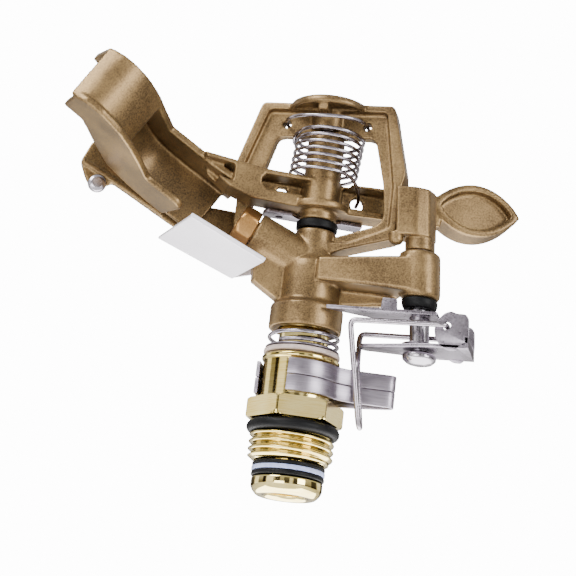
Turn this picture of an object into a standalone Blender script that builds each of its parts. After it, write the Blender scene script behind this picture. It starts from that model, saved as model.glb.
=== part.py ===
"""Impact sprinkler: a cast head that turns on a threaded bearing sleeve, knocked round by a sprung arm.

Frame: the origin is the middle of the sleeve's hexagon, on its underside, where it seats on the riser.
+Z is the bearing axis, pointing up. The bridge over the arm lies in the XZ plane. The arm and the
nozzle point along the azimuth ARM_YAW. Every length below is in millimetres and every angle in degrees;
the mesh makers turn them into metres and radians.
"""

import math

import bmesh
import bpy
from mathutils import Matrix, Vector

MM = 0.001
GAP = 0.3

# Bearing: G 1/2 male thread, spanner hexagon, sealing washers and the tube that turns inside.
THREAD_RADIUS = 10.48
THREAD_PITCH = 1.814
THREAD_TOP = -3.6
THREAD_TURNS = 3
SLEEVE_BOTTOM = -10.05
SLEEVE_BORE = 6.6
HEX_ACROSS_FLATS = 21.0
HEX_HEIGHT = 5.0
BARREL_RADIUS = 9.2
BARREL_TOP = 16.4
TUBE_RADIUS = 6.2
TUBE_BORE = 4.6
NOSE_BOTTOM = -18.4
WASHER_RADIUS = 9.0
WASHER_THICKNESS = 1.0

# Head casting.
COLLAR_BOTTOM = 23.1
COLLAR_RADIUS = 9.1
NECK_RADIUS = 7.7
BOSS_TOP = 49.1
BOSS_RADIUS = 5.1
BRANCH_START = 40.1
BRANCH_SLOPE = 22.0
BRANCH_RADIUS = 5.2
BRANCH_LENGTH = 16.9
WATERWAY_RADIUS = 3.2
BRIDGE_HALF_DEPTH = 3.3
BRIDGE_TOP = 82.8
CROWN_RADIUS = 10.3
CROWN_TOP = 84.6
PIVOT_SEAT = 76.2

# Arm, in its own frame: x outward over the nozzle, y to the side it swings to, z up.
ARM_YAW = 203.6
ARM_BOTTOM = 54.0
ARM_TOP = 63.0
ARM_HALF_WIDTH = 4.0
HUB_RADIUS = 4.7
HUB_BOTTOM = 51.7
HUB_TOP = 73.9
PIVOT_RADIUS = 2.0
SPOON_SLOPE = 30.0
SPOON_START = (20.66, 56.8)
SPOON_HEIGHT = 14.0
SPOON_PLATE = 1.8
WEIGHT_MIDDLE = (-41.0, 60.9)

# Trip mechanism on its vertical pin, and the two stop collars on the sleeve.
TRIP_AXIS = (28.7, -3.0)
STOP_HEIGHT = 3.8
STOP_THICKNESS = 0.9
LOWER_STOP_Z = 6.7
UPPER_STOP_Z = 10.8
NOSE_REACH = 23.6
NOSE_HALF_WIDTH = 2.6
NOSE_YAW = 11.0
WIRE_RADIUS = 0.55

# Deflector under the jet.
DEFLECTOR_SLOPE = 20.0
DEFLECTOR_SKEW = 9.0
SHIELD_SIDE = -14.6


def clear_scene():
    for item in list(bpy.data.objects):
        bpy.data.objects.remove(item, do_unlink=True)


def finish(name, colour, roughness, metallic):
    """A Principled material from an sRGB hex colour."""
    material = bpy.data.materials.new(name)
    material.use_nodes = True
    shader = material.node_tree.nodes["Principled BSDF"]
    values = [int(colour[i : i + 2], 16) / 255 for i in (0, 2, 4)]
    linear = [v / 12.92 if v <= 0.04045 else ((v + 0.055) / 1.055) ** 2.4 for v in values]
    shader.inputs["Base Color"].default_value = (*linear, 1)
    shader.inputs["Roughness"].default_value = roughness
    shader.inputs["Metallic"].default_value = metallic
    return material


def add_object(name, mesh, material, parent=None, smooth=35):
    mesh.shade_smooth()
    mesh.set_sharp_from_angle(angle=math.radians(smooth))
    item = bpy.data.objects.new(name, mesh)
    item.data.materials.append(material)
    item.parent = parent
    bpy.context.scene.collection.objects.link(item)
    return item


def mesh_of(name, points, faces):
    """A closed mesh in metres from points in millimetres, faces turned outwards."""
    body = bmesh.new()
    corners = [body.verts.new(Vector(p) * MM) for p in points]
    for face in faces:
        body.faces.new([corners[i] for i in face])
    bmesh.ops.recalc_face_normals(body, faces=body.faces)
    mesh = bpy.data.meshes.new(name)
    body.to_mesh(mesh)
    body.free()
    return mesh


def turned(name, material, profile, segments=40, parent=None):
    """The closed outline of (radius, height) points, turned round Z. A radius of 0 is a pole."""
    points, rings = [], []
    for radius, height in profile:
        if radius == 0:
            rings.append([len(points)] * segments)
            points.append((0, 0, height))
            continue
        rings.append(list(range(len(points), len(points) + segments)))
        for i in range(segments):
            angle = 2 * math.pi * i / segments
            points.append((radius * math.cos(angle), radius * math.sin(angle), height))
    faces = []
    for first, second in zip(rings, rings[1:] + rings[:1]):
        for i in range(segments):
            j = (i + 1) % segments
            face = [first[i], first[j], second[j], second[i]]
            face = [v for n, v in enumerate(face) if v not in face[:n]]
            if len(face) > 2:
                faces.append(face)
    return add_object(name, mesh_of(name, points, faces), material, parent)


def prism(name, material, outline, low, high, parent=None):
    """The outline of (x, y) points, extruded along Z from low to high."""
    count = len(outline)
    points = [(x, y, z) for z in (low, high) for x, y in outline]
    faces = [list(range(count)), list(range(count, 2 * count))]
    for i in range(count):
        j = (i + 1) % count
        faces.append([i, j, count + j, count + i])
    return add_object(name, mesh_of(name, points, faces), material, parent)


def upright(name, material, outline, near, far, parent=None):
    """The outline of (x, z) points, extruded along Y from near to far."""
    item = prism(name, material, outline, -far, -near, parent)
    item.data.transform(Matrix.Rotation(math.radians(90), 4, "X"))
    return item


def box(name, material, low, high, parent=None):
    outline = [(low[0], low[1]), (high[0], low[1]), (high[0], high[1]), (low[0], high[1])]
    return prism(name, material, outline, low[2], high[2], parent)


def wire(name, material, points, radius, parent=None, sides=2):
    """A round wire along the points, with closed ends."""
    curve = bpy.data.curves.new(name, "CURVE")
    curve.dimensions = "3D"
    curve.bevel_depth = radius * MM
    curve.bevel_resolution = sides - 1
    curve.use_fill_caps = True
    spline = curve.splines.new("POLY")
    spline.points.add(len(points) - 1)
    for target, point in zip(spline.points, points):
        target.co = (*(Vector(point) * MM), 1)
    item = bpy.data.objects.new(name, curve)
    item.data.materials.append(material)
    item.parent = parent
    bpy.context.scene.collection.objects.link(item)
    return item


def arc(centre, radius, start, end, steps):
    """Points along a circle, both ends included; angles in degrees."""
    angles = [math.radians(start + (end - start) * i / steps) for i in range(steps + 1)]
    return [(centre[0] + radius * math.cos(a), centre[1] + radius * math.sin(a)) for a in angles]


def combine(target, others, operation):
    """Joins or cuts the target by each other shape, which becomes a hidden helper."""
    for other in others:
        step = target.modifiers.new(other.name, "BOOLEAN")
        step.object = other
        step.operation = operation
        step.solver = "EXACT"
        other.hide_render = True
        other.display_type = "WIRE"
    return target


def aim(item, place, direction):
    """Lays an object built along Z at a place, pointing in a direction."""
    turn = Vector((0, 0, 1)).rotation_difference(Vector(direction)).to_matrix().to_4x4()
    item.matrix_local = Matrix.Translation(Vector(place) * MM) @ turn
    return item


def empty(name, place, yaw=0.0):
    item = bpy.data.objects.new(name, None)
    item.location = Vector(place) * MM
    item.rotation_euler.z = math.radians(yaw)
    bpy.context.scene.collection.objects.link(item)
    return item


def arm_to_world(x, y, z=0.0):
    turn = Matrix.Rotation(math.radians(ARM_YAW), 3, "Z")
    return tuple(turn @ Vector((x, y, z)))


def ring(name, material, inner, outer, low, high, parent=None, segments=36):
    """A flat washer."""
    profile = [(inner, high), (outer, high), (outer, low), (inner, low)]
    return turned(name, material, profile, segments, parent)


def round_ring(name, material, middle, radius, height, parent=None):
    """An O-ring: a circle of the given radius, turned at the middle radius."""
    profile = [(middle + x, height + z) for x, z in arc((0, 0), radius, 0, 315, 7)]
    return turned(name, material, profile[::-1], 36, parent)


def bearing_sleeve(brass):
    """The fixed bearing: thread below the hexagon, plain barrel above it, bored through."""
    profile = [(0, BARREL_TOP), (9.0, BARREL_TOP), (9.7, BARREL_TOP - 0.4), (9.7, BARREL_TOP - 1.2)]
    profile += [(BARREL_RADIUS, BARREL_TOP - 1.6), (BARREL_RADIUS, 2.0), (8.2, 1.9), (8.2, THREAD_TOP + 0.5)]
    for turn in range(THREAD_TURNS):
        crest = THREAD_TOP - THREAD_PITCH * (turn + 0.35)
        profile += [(9.35, crest + 0.62), (THREAD_RADIUS, crest + 0.14), (THREAD_RADIUS, crest - 0.14)]
        profile += [(9.35, crest - 0.62)]
    profile += [(9.3, SLEEVE_BOTTOM + 0.5), (8.9, SLEEVE_BOTTOM), (0, SLEEVE_BOTTOM)]
    sleeve = turned("bearing_sleeve", brass, profile)
    corner = HEX_ACROSS_FLATS / 2 / math.cos(math.radians(30))
    outline = arc((0, 0), corner, 8.1, 308.1, 5)
    hexagon = prism("sleeve_hexagon", brass, outline, 0, HEX_HEIGHT)
    shaper = turned(
        "hexagon_chamfer",
        brass,
        [(0, HEX_HEIGHT + 0.01), (11.5, HEX_HEIGHT + 0.01), (12.3, 4.4), (12.3, 0.6), (11.5, -0.01), (0, -0.01)],
    )
    combine(hexagon, [shaper], "INTERSECT")
    bore = turned("sleeve_bore", brass, [(0, 20), (SLEEVE_BORE, 20), (SLEEVE_BORE, -15), (0, -15)], 40)
    combine(sleeve, [hexagon], "UNION")
    combine(sleeve, [bore], "DIFFERENCE")


def spindle_tube(brass):
    """The bearing tube: its rounded nose flange carries the washers, its top screws into the head."""
    outside = [(TUBE_RADIUS, 30.3), (TUBE_RADIUS, NOSE_BOTTOM + 4.15), (8.8, NOSE_BOTTOM + 4.15)]
    rounding = [(7.0 + x, NOSE_BOTTOM + 1.8 + z) for x, z in arc((0, 0), 1.8, 0, -90, 4)]
    inside = [(TUBE_BORE + 0.6, NOSE_BOTTOM), (TUBE_BORE, NOSE_BOTTOM + 0.6), (TUBE_BORE, 30.3)]
    turned("spindle_tube", brass, outside + rounding + inside, 36)


def seals_and_washers(rubber, slip, polymer, steel):
    round_ring("flange_o_ring", rubber, 10.0, 1.5, -1.85)
    inner = TUBE_RADIUS + GAP
    top = SLEEVE_BOTTOM - GAP
    step = WASHER_THICKNESS + GAP
    for name, material in (
        ("upper_sealing_washer", rubber),
        ("slip_washer", slip),
        ("lower_sealing_washer", rubber),
    ):
        ring(name, material, inner, WASHER_RADIUS, top - WASHER_THICKNESS, top)
        top -= step
    ring("sleeve_cap_ring", polymer, inner, 9.5, 16.7, 17.9)
    ring("spring_seat_washer", steel, inner, 9.2, 18.2, 18.7)


def pressure_spring(steel):
    """The compressed spring that pulls the nose flange up against the washers."""
    turns, steps = 2.6, 44
    points = []
    for i in range(steps + 1):
        angle = 2 * math.pi * turns * i / steps + 2.4
        height = 19.55 + 2.65 * i / steps
        points.append((8.3 * math.cos(angle), 8.3 * math.sin(angle), height))
    wire("pressure_spring", steel, points, WIRE_RADIUS, sides=2)


def branch_direction():
    slope, yaw = math.radians(BRANCH_SLOPE), math.radians(ARM_YAW)
    return (math.cos(slope) * math.cos(yaw), math.cos(slope) * math.sin(yaw), math.sin(slope))


def bridge_frame(zinc):
    """The bridge: a tapered frame with a raised rim round a thinner panel, and the round crown."""
    outer = [(-17, BRIDGE_TOP), (17, BRIDGE_TOP), (20.6, 62), (20.6, 47.6), (8, 44.2), (0, 41), (0, 37)]
    outer += [(-8, 41.5), (-17, 42.5), (-21.4, 46.5), (-21.4, 62), (-22.3, 66)]
    frame = upright("bridge", zinc, outer, -BRIDGE_HALF_DEPTH, BRIDGE_HALF_DEPTH)
    window = [(-12.6, 74.2), (12.8, 74.2), (16.0, 62), (17.0, 53.6), (15.6, 51.4), (4, 47.4), (-4, 46.6)]
    window += [(-14.6, 46.6), (-17.4, 49.2), (-17.4, 56), (-15, 65.6)]
    opening = upright("bridge_window", zinc, window, -20, 20)
    panel = [(-15.2, 80.6), (15.2, 80.6), (18.7, 61.6), (18.7, 50.2), (9, 46), (-12, 46), (-19.6, 48)]
    panel += [(-19.6, 62), (-20.2, 65.4)]
    faces = []
    for side in (-1, 1):
        low, high = sorted((side * (BRIDGE_HALF_DEPTH - 1.1), side * 20))
        faces.append(upright(f"panel_cut_{side + 1}", zinc, panel, low, high))
    combine(frame, [opening] + faces, "DIFFERENCE")
    tuck = box("leg_tuck", zinc, (-30, -20, 38), (-6, -1.6, 65.6))
    combine(frame, [tuck], "DIFFERENCE")
    return frame


def crown(zinc):
    """The round cap over the pivot, hollow underneath on both sides of the bridge, with a rib."""
    cap = turned(
        "crown",
        zinc,
        [(0, CROWN_TOP), (9.4, CROWN_TOP), (CROWN_RADIUS, CROWN_TOP - 0.8), (CROWN_RADIUS, 79.9), (0, 79.9)],
    )
    pockets = []
    for side in (-1, 1):
        outline = arc((0, 0), 8.9, 20, 160, 12)
        pocket = prism(f"crown_pocket_{side + 1}", zinc, [(x, side * y) for x, y in outline], 70, 82.9)
        pockets.append(pocket)
    combine(cap, pockets, "DIFFERENCE")
    rib = box("crown_rib", zinc, (-0.9, -9.3, 80.6), (0.9, 9.3, 83.4))
    seat = turned("pivot_seat", zinc, [(0, 83.5), (4.4, 83.5), (4.4, PIVOT_SEAT), (0, PIVOT_SEAT)], 32)
    return combine(cap, [rib, seat], "UNION")


def trip_bracket(zinc):
    """The bracket arm from the neck out to the boss that carries the trip pin."""
    x, y = TRIP_AXIS
    outline = [(3, 34.9), (20, 34.0), (x, 33.9), (x, 43.7), (20, 42.4), (3, 41.0)]
    bar = upright("bracket_bar", zinc, outline, y - 3.2, y + 2.6)
    boss = turned("bracket_boss", zinc, [(0, 44.0), (5.3, 44.0), (5.7, 43.6), (5.7, 34.2), (5.3, 33.8), (0, 33.8)])
    aim(boss, (x, y, 0), (0, 0, 1))
    skirt = upright("bracket_skirt", zinc, [(5, 30.2), (19, 31.2), (25, 36), (5, 37)], 0.4, 2.4)
    return combine(bar, [boss, skirt], "UNION")


def head_casting(zinc):
    """The one-piece head: collar, neck, boss, nozzle branch with its web, bridge, crown and bracket."""
    profile = [(0, BOSS_TOP), (BOSS_RADIUS - 0.2, BOSS_TOP), (BOSS_RADIUS, BOSS_TOP - 0.3), (5.4, 44)]
    profile += [(6.2, 41.6), (NECK_RADIUS, 39.2), (NECK_RADIUS, 30), (8.4, 29.6), (COLLAR_RADIUS, 28.6)]
    profile += [(COLLAR_RADIUS, COLLAR_BOTTOM + 0.5), (8.7, COLLAR_BOTTOM), (0, COLLAR_BOTTOM)]
    casting = turned("head_casting", zinc, profile)
    branch = turned("branch", zinc, [(0, 16.9), (4.9, 16.9), (5.2, 16.6), (5.2, 0), (0, 0)], 40)
    aim(branch, (0, 0, BRANCH_START), branch_direction())
    side_boss = turned("side_boss", zinc, [(0, 11.6), (2.9, 11.6), (2.9, 0), (0, 0)], 24)
    aim(side_boss, arm_to_world(10.5, 0, 43.0), arm_to_world(0, -1, 0))
    web = upright("web", zinc, [(3, 29), (8.4, 30.2), (13.6, 33.2), (14.4, 44), (3, 40)], -2.0, 2.0)
    web.rotation_euler.z = math.radians(ARM_YAW)
    parts = [branch, web, side_boss, bridge_frame(zinc), crown(zinc), trip_bracket(zinc)]
    combine(casting, parts, "UNION")
    cuts = [
        turned("tube_socket", zinc, [(0, 30.6), (6.5, 30.6), (6.5, 20), (0, 20)], 40),
        turned("waterway", zinc, [(0, 40.5), (4.2, 40.5), (4.2, 30), (0, 30)], 32),
        aim(
            turned("jet_bore", zinc, [(0, 30), (WATERWAY_RADIUS, 30), (WATERWAY_RADIUS, 0), (0, 0)], 28),
            (0, 0, BRANCH_START),
            branch_direction(),
        ),
        turned("pivot_hole", zinc, [(0, 83.5), (2.3, 83.5), (2.3, 44.2), (0, 44.2)], 24),
        aim(turned("pin_hole", zinc, [(0, 60), (2.8, 60), (2.8, 20), (0, 20)], 24), (*TRIP_AXIS, 0), (0, 0, 1)),
        aim(turned("boss_hole", zinc, [(0, 20), (1.3, 20), (1.3, 7.4), (0, 7.4)], 16),
            arm_to_world(10.5, 0, 43.0), arm_to_world(0, -1, 0)),
    ]
    for side, x in (("left", -10.2), ("right", 10.2)):
        hole = turned(f"spring_hole_{side}", zinc, [(0, 9), (0.9, 9), (0.9, -9), (0, -9)], 12)
        cuts.append(aim(hole, (x, 0, 78.0), (0, 1, 0)))
    combine(casting, cuts, "DIFFERENCE")


def nozzle(bronze):
    """The hexagon nozzle screwed into the branch, with its jet hole."""
    body = prism("nozzle", bronze, arc((0, 0), 5.15, 0, 300, 5), 17.2, 21.8)
    shaper = turned("nozzle_chamfer", bronze, [(0, 21.81), (4.1, 21.81), (5.3, 20.7), (5.3, 17.1), (0, 17.1)], 36)
    combine(body, [shaper], "INTERSECT")
    shank = turned("nozzle_shank", bronze, [(0, 18), (2.9, 18), (2.9, 10), (0, 10)], 28)
    hole = turned("nozzle_hole", bronze, [(0, 30), (1.9, 30), (1.9, 5), (0, 5)], 20)
    combine(body, [shank], "UNION")
    combine(body, [hole], "DIFFERENCE")
    place = (0, 0, BRANCH_START)
    for item in (body, shaper, shank, hole):
        aim(item, place, branch_direction())


def spoon_wall(name, material, path, thickness, parent):
    """A vane between the spoon's two plates: the path of (x, y) points, thickened to one side."""
    other = []
    for i, (x, y) in enumerate(path):
        x0, y0 = path[max(i - 1, 0)]
        x1, y1 = path[min(i + 1, len(path) - 1)]
        length = math.hypot(x1 - x0, y1 - y0)
        other.append((x - (y1 - y0) / length * thickness, y + (x1 - x0) / length * thickness))
    return prism(name, material, path + other[::-1], -SPOON_HEIGHT + 0.6, 0.6, parent)


def spoon(zinc, arm_axis):
    """The spoon: two sloping plates with a straight ramp vane behind and a curved hood in front."""
    top = [(-3, 3), (-3, -3.9), (0.6, -3.9), (1.2, -12.1), (16, -12.1), (24, -11.6), (31, -8.8), (36.5, -1.5), (42, 5), (48.4, 8.2)]
    top += [(45.4, 18.6), (42, 20.6), (38.5, 20.8), (34, 18.8), (29, 12.4), (25.6, 5), (22.6, 1.6), (10, 1.4)]
    bottom = [(8.3, 0.4), (12, -11.9), (17.5, -12.0), (24, -10.8), (30.6, -8.2), (35.6, -0.6), (40.4, 8.0)]
    bottom += [(46.2, 8.4), (44, 18.4), (41, 20.4), (36, 20.4), (30, 17.2), (26, 12.9), (22.4, 7.6), (19.4, 2.2)]
    bottom += [(9.8, 2.0)]
    upper = prism("spoon_top", zinc, top, 0, SPOON_PLATE, arm_axis)
    lower = prism("spoon_bottom", zinc, bottom, -SPOON_HEIGHT, -SPOON_HEIGHT + SPOON_PLATE, arm_axis)
    ramp_path = [(3.2, -11.9), (16, -11.9), (23, -11.2), (27, -9.2), (29.8, -6.0), (31.4, -2.6)]
    ramp = spoon_wall("ramp_vane", zinc, ramp_path, 1.6, arm_axis)
    hood_path = [(44.6, 18.4), (41, 19.9), (37, 19.6), (33, 17.4), (29.6, 14.0), (27.6, 10.6)]
    hood = spoon_wall("hood_vane", zinc, hood_path, 1.6, arm_axis)
    tilt = Matrix.Rotation(-math.radians(SPOON_SLOPE), 4, "Y")
    shift = Matrix.Translation(Vector((SPOON_START[0], 0, SPOON_START[1])) * MM)
    for item in (upper, lower, ramp, hood):
        item.data.transform(shift @ tilt)
    return [upper, lower, ramp, hood]


def leaf(half_length, half_height, steps=10):
    """A pointed-oval outline: two arcs meeting in tips, the left one blunt."""
    points = []
    for i in range(steps + 1):
        x = -half_length + 2 * half_length * i / steps
        points.append((x, half_height * (1 - (x / half_length) ** 2) ** 0.8))
    return points + [(x, -y) for x, y in points[-2:0:-1]]


def impact_arm(zinc, arm_axis):
    """The arm casting: hub, slotted bar, spoon at one end and leaf-shaped counterweight at the other."""
    bar = [(-31, ARM_BOTTOM + 1), (-9, ARM_BOTTOM), (8, ARM_BOTTOM), (19, 54.2), (27, 57.4), (30, 62.2)]
    bar += [(30, 66), (22, 64.6), (14, ARM_TOP + 0.6), (-9, ARM_TOP), (-31, ARM_TOP + 1)]
    arm = upright("impact_arm", zinc, bar, -ARM_HALF_WIDTH, ARM_HALF_WIDTH, arm_axis)
    hub = turned("arm_hub", zinc, [(0, HUB_TOP), (HUB_RADIUS, HUB_TOP), (HUB_RADIUS, HUB_BOTTOM), (0, HUB_BOTTOM)],
                 36, arm_axis)
    flange = turned("hub_flange", zinc, [(0, 56), (7.6, 56), (7.6, ARM_BOTTOM + 0.1), (0, ARM_BOTTOM + 0.1)],
                    36, arm_axis)
    x, z = WEIGHT_MIDDLE
    weight = upright("counterweight", zinc, [(x + a, z + b) for a, b in leaf(11.4, 6.9)], -4.6, 4.4, arm_axis)
    front = box("hub_window", zinc, (-6.8, 1.0, 56), (6.8, 12, 70), arm_axis)
    back = box("hub_window_back", zinc, (-6.8, -12, 56), (6.8, -2.6, 70), arm_axis)
    pocket = box("tail_pocket", zinc, (-27, -1.4, 56), (-5.5, 12, 61.2), arm_axis)
    slot = box("arm_slot", zinc, (7.6, -12, 57.6), (19.2, 12, 61.4), arm_axis)
    web = box("tail_back_pocket", zinc, (-27, -12, 56), (-5.5, -3.0, 61.2), arm_axis)
    outline = [(x + a, z + b) for a, b in leaf(8.9, 4.9)]
    dish = upright("weight_dish", zinc, outline, 3.2, 12, arm_axis)
    combine(arm, [front, back, pocket, slot, web], "DIFFERENCE")
    combine(arm, [hub, flange, weight] + spoon(zinc, arm_axis), "UNION")
    bore = turned("hub_bore", zinc, [(0, 90), (2.3, 90), (2.3, 40), (0, 40)], 24, arm_axis)
    catch = aim(turned("spring_catch", zinc, [(0, 9), (1.3, 9), (1.3, -9), (0, -9)], 12, arm_axis),
                (-9.6, 0, 58.4), (0, 1, 0))
    combine(arm, [bore, dish, catch], "DIFFERENCE")


def strike_strip(steel, arm_axis):
    """The stainless strip under the arm's far side that the trip latch catches."""
    outline = [(-12, -9.6), (12.6, -9.6), (13.4, -8.8), (13.4, -5.4), (12.6, -4.6), (6.2, -4.6), (4.4, -6.6)]
    outline += [(-4.4, -6.6), (-6.2, -4.6), (-12, -4.6)]
    strip = prism("strike_strip", steel, outline, ARM_BOTTOM - GAP - 1.0, ARM_BOTTOM - GAP, arm_axis)
    hole = turned("strip_hole", steel, [(0, 60), (0.9, 60), (0.9, 48), (0, 48)], 14, arm_axis)
    aim(hole, (9.2, -7.2, 0), (0, 0, 1))
    combine(strip, [hole], "DIFFERENCE")


def pivot_parts(steel, rubber):
    turned("pivot_pin", steel, [(0, 83.2), (PIVOT_RADIUS, 83.2), (PIVOT_RADIUS, 44.5), (0, 44.5)], 24)
    ring("hub_washer", rubber, 2.4, 5.2, BOSS_TOP + GAP, HUB_BOTTOM - GAP)


def arm_spring(steel):
    """The arm's return spring: hooked over the bridge at the top, coiled, caught in the arm below."""
    radius, turns, steps = 8.4, 6.1, 98
    top, bottom = 73.2, 64.4
    points = [(10.2, -4.25, 77.6)]
    for x, y in arc((0, 0), 10.9, -22, -158, 8):
        points.append((x, y, 77.9))
    points += [(-10.0, -4.6, 76.4), (-9.2, -4.5, 74.4)]
    start, end = math.radians(205), math.radians(205) + 2 * math.pi * turns
    for i in range(steps + 1):
        angle = start + (end - start) * i / steps
        height = top + (bottom - top) * i / steps
        points.append((radius * math.cos(angle), radius * math.sin(angle), height))
    for place in ((-3.6, 8.5, 63.4), (-6.6, 7.3, 61.6), (-8.8, 5.4, 59.8), (-9.5, 3.0, 58.6), (-9.6, 0.0, 58.4)):
        points.append(arm_to_world(*place))
    wire("arm_spring", steel, points, 0.45, sides=2)


def stop_collar(name, steel, low):
    """A C-shaped strip that grips the barrel, with a loop nose that trips the wire."""
    inner = BARREL_RADIUS + GAP
    outer = inner + STOP_THICKNESS
    leave = math.degrees(math.asin((NOSE_HALF_WIDTH + 1.2) / outer))
    tip = NOSE_REACH - 1.4

    def strip(radius, half):
        path = arc((0, 0), radius, 255, 360 - leave, 12)
        path += [(11.4, -half - 0.5), (13, -half)]
        path += arc((tip, 0), half, -80, 80, 6)
        path += [(13, half), (11.4, half + 0.5)]
        return path + arc((0, 0), radius, leave, 192, 18)

    outline = strip(outer, NOSE_HALF_WIDTH) + strip(inner, NOSE_HALF_WIDTH - STOP_THICKNESS)[::-1]
    collar = prism(name, steel, outline, low, low + STOP_HEIGHT)
    collar.rotation_euler.z = math.radians(NOSE_YAW)


def trip_parts(zinc, steel, rubber):
    """Everything on the trip pin: latch block above the boss, lever, fork, wire and washer below it."""
    x0, y0 = TRIP_AXIS
    axis = empty("trip_axis", (x0, y0, 0))
    outline = [(-7.4, -4.8), (-2.2, -4.8), (2.4, -1.6), (3.6, 2.6), (2.4, 4.2), (-2.6, 4.2), (-5.0, 2.0)]
    outline += [(-5.0, -1.0), (-7.4, -1.0)]
    block = prism("trip_latch", zinc, outline, 47.2, 60.0, axis)
    neck = turned("latch_neck", zinc, [(0, 49), (3.8, 49), (3.8, 44.4), (0, 44.4)], 32, axis)
    hole = turned("latch_hole", zinc, [(0, 57.4), (2.5, 57.4), (2.5, 40), (0, 40)], 24, axis)
    combine(block, [neck], "UNION")
    combine(block, [hole], "DIFFERENCE")
    pin = [(0, 57.0), (2.2, 57.0), (2.2, 30), (2.45, 29.9), (2.45, 21.2), (2.2, 21.1), (2.2, 18.6), (3.9, 18.5)]
    pin += [(4.2, 18.1), (4.1, 17.2), (3.0, 16.2), (1.4, 15.8), (0, 15.75)]
    turned("trip_pin", steel, pin, 36, axis)
    ring("trip_bush", rubber, 2.8, 4.4, 29.5, 33.5, axis)
    ring("trip_pin_washer", steel, 2.8, 4.3, 20.5, 21.0, axis)

    lever_outline = [(-22.4, -5.6), (-17, -5.6), (-9, -5.3), (5, -4.7), (5, 4.4), (-5, 4.4), (-14, 0.8)]
    lever_outline += [(-18.4, -2.2), (-21.6, -4.3)]
    lever = prism("trip_lever", steel, lever_outline, 27.4, 28.4, axis)
    tab = box("lever_tab", steel, (-9.2, -3.6, 28.0), (-5.2, -2.7, 31.6), axis)
    lever_hole = turned("lever_hole", steel, [(0, 40), (2.8, 40), (2.8, 20), (0, 20)], 24, axis)
    combine(lever, [tab], "UNION")
    combine(lever, [lever_hole], "DIFFERENCE")

    leaf_outline = arc((-12.4, 0), 2.4, 90, 270, 8) + [(4, -6.6), (14.2, -6.6), (14.2, 6.6), (4, 6.6)]
    fork = prism("trip_fork", steel, leaf_outline, 19.2, 20.1, axis)
    end = box("fork_end", steel, (13.4, -6.6, 19.4), (14.2, 6.6, 28.2), axis)
    cheek_outline = [(14.0, 19.5), (14.0, 28.2), (8.4, 28.2), (6.2, 27.2), (4.8, 25.2), (4.6, 22.6), (6.4, 20.2)]
    cheek_outline += [(7.6, 19.5)]
    cheeks = []
    for side, near in (("front", -6.6), ("back", 5.8)):
        cheek = upright(f"fork_cheek_{side}", steel, cheek_outline, near, near + 0.8, axis)
        cheeks.append(cheek)
    combine(fork, [end] + cheeks, "UNION")
    pin_hole = turned("fork_hole", steel, [(0, 25), (2.5, 25), (2.5, 15), (0, 15)], 24, axis)
    wire_hole = aim(turned("wire_hole", steel, [(0, 9), (1.2, 9), (1.2, -9), (0, -9)], 16, axis),
                    (7.9, 0, 24.6), (0, 1, 0))
    combine(fork, [pin_hole, wire_hole], "DIFFERENCE")

    route = [(7.9, -5.2, 24.6), (7.9, -6.6, 24.6), (7.4, -7.2, 24.6), (6.4, -7.4, 24.6), (-14.0, -6.9, 24.6)]
    route += [(-15.0, -6.8, 24.2), (-15.4, -6.7, 23.2), (-12.4, -1.6, 1.2), (-11.9, -0.7, 0.0)]
    route += [(-11.7, 0.0, -0.4), (-11.9, 0.7, 0.0), (-12.4, 1.4, 1.2), (-14.3, 1.9, 15.4), (-15.4, 6.6, 23.2)]
    route += [(-15.0, 6.9, 24.2), (-14.0, 7.1, 24.6), (6.4, 7.4, 24.6), (7.4, 7.2, 24.6), (7.9, 6.6, 24.6)]
    route += [(7.9, 5.2, 24.6)]
    wire("trip_wire", steel, route, WIRE_RADIUS, axis, sides=3)


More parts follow.
